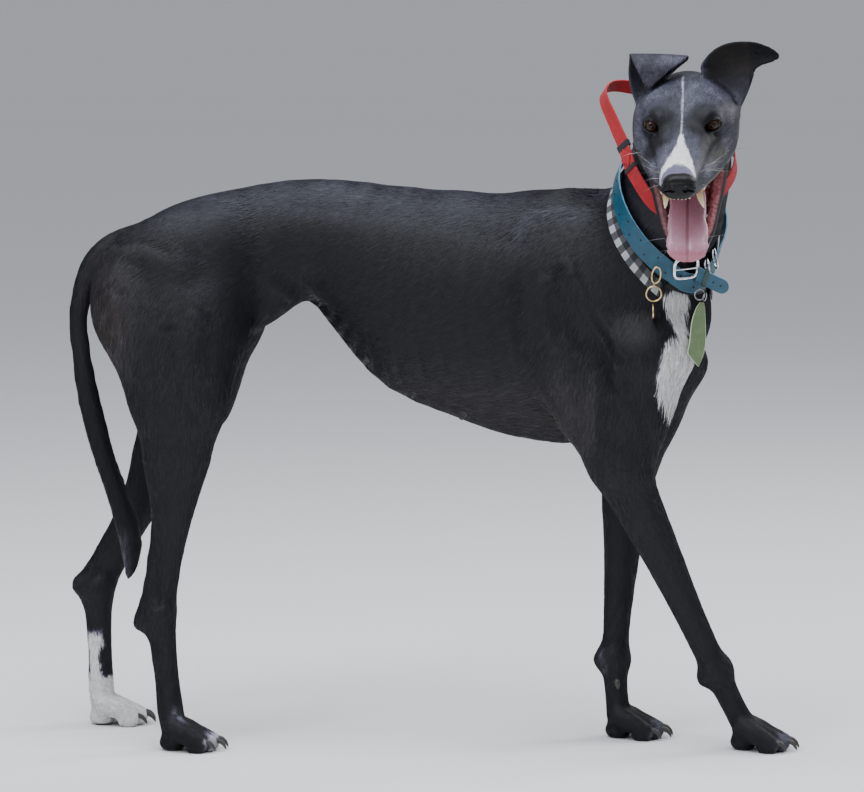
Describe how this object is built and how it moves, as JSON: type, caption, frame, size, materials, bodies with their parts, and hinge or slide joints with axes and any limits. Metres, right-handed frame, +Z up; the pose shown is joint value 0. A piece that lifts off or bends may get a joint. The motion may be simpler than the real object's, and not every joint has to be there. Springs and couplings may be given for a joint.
{
  "type": "greyhound",
  "caption": "Life-size standing greyhound with arched loin and deep chest, head turned aside with the mouth open, wearing collars.",
  "frame": {"origin": "on the floor, under the middle of the outer box", "axes": "+X towards the front of the animal, +Y to its left, +Z up; the head is turned towards -Y"},
  "size_m": [0.9066, 0.5234, 0.879],
  "materials": {
    "head": "short sleek coat, satin black",
    "lower_jaw": "short sleek coat, satin black",
    "neck": "short sleek coat, satin black",
    "trunk": "short sleek coat, satin black",
    "tail": "short sleek coat, satin black",
    "foreleg_right": "short sleek coat, satin black",
    "forepaw_right": "short sleek coat, satin black",
    "foreleg_left": "short sleek coat, satin black",
    "forepaw_left": "short sleek coat, satin black",
    "hindleg_right": "short sleek coat, satin black",
    "hindpaw_right": "short sleek coat, satin black",
    "hindleg_left": "short sleek coat, satin black",
    "hindpaw_left": "short sleek coat, satin black",
    "ear_left": "thin skin with short hair, matt",
    "ear_right": "thin skin with short hair, matt",
    "nose": "moist leathery skin",
    "eye_left": "polished, moist",
    "eye_right": "polished, moist",
    "tongue": "moist",
    "upper_teeth": "moist, glossy",
    "lower_teeth": "moist, glossy",
    "collar_teal": "smooth dyed strap, satin",
    "collar_end": "smooth dyed strap, satin",
    "collar_check": "woven check webbing, matt",
    "collar_black": "woven webbing, matt",
    "collar_red": "woven nylon webbing, slight sheen",
    "buckle": "bright plated",
    "d_ring": "bright plated",
    "clip": "bright plated",
    "steel_ring": "plain wire",
    "brass_link": "bright, worn",
    "brass_ring": "bright, worn",
    "brass_disc": "dull, worn",
    "tag_olive": "satin"
  },
  "bodies": {
    "root": {"head": "head", "lower_jaw": "lower_jaw", "neck": "neck", "trunk": "trunk", "tail": "tail", "foreleg_right": "foreleg_right", "forepaw_right": "forepaw_right", "foreleg_left": "foreleg_left", "forepaw_left": "forepaw_left", "hindleg_right": "hindleg_right", "hindpaw_right": "hindpaw_right", "hindleg_left": "hindleg_left", "hindpaw_left": "hindpaw_left", "ear_left": "ear_left", "ear_right": "ear_right", "nose": "nose", "eye_left": "eye_left", "eye_right": "eye_right", "tongue": "tongue", "upper_teeth": "upper_teeth", "lower_teeth": "lower_teeth", "collar_teal": "collar_teal", "collar_end": "collar_end", "collar_check": "collar_check", "collar_black": "collar_black", "collar_red": "collar_red", "buckle": "buckle", "d_ring": "d_ring", "clip": "clip", "steel_ring": "steel_ring", "brass_link": "brass_link", "brass_ring": "brass_ring", "brass_disc": "brass_disc", "tag_olive": "tag_olive"}
  },
  "joints": []
}
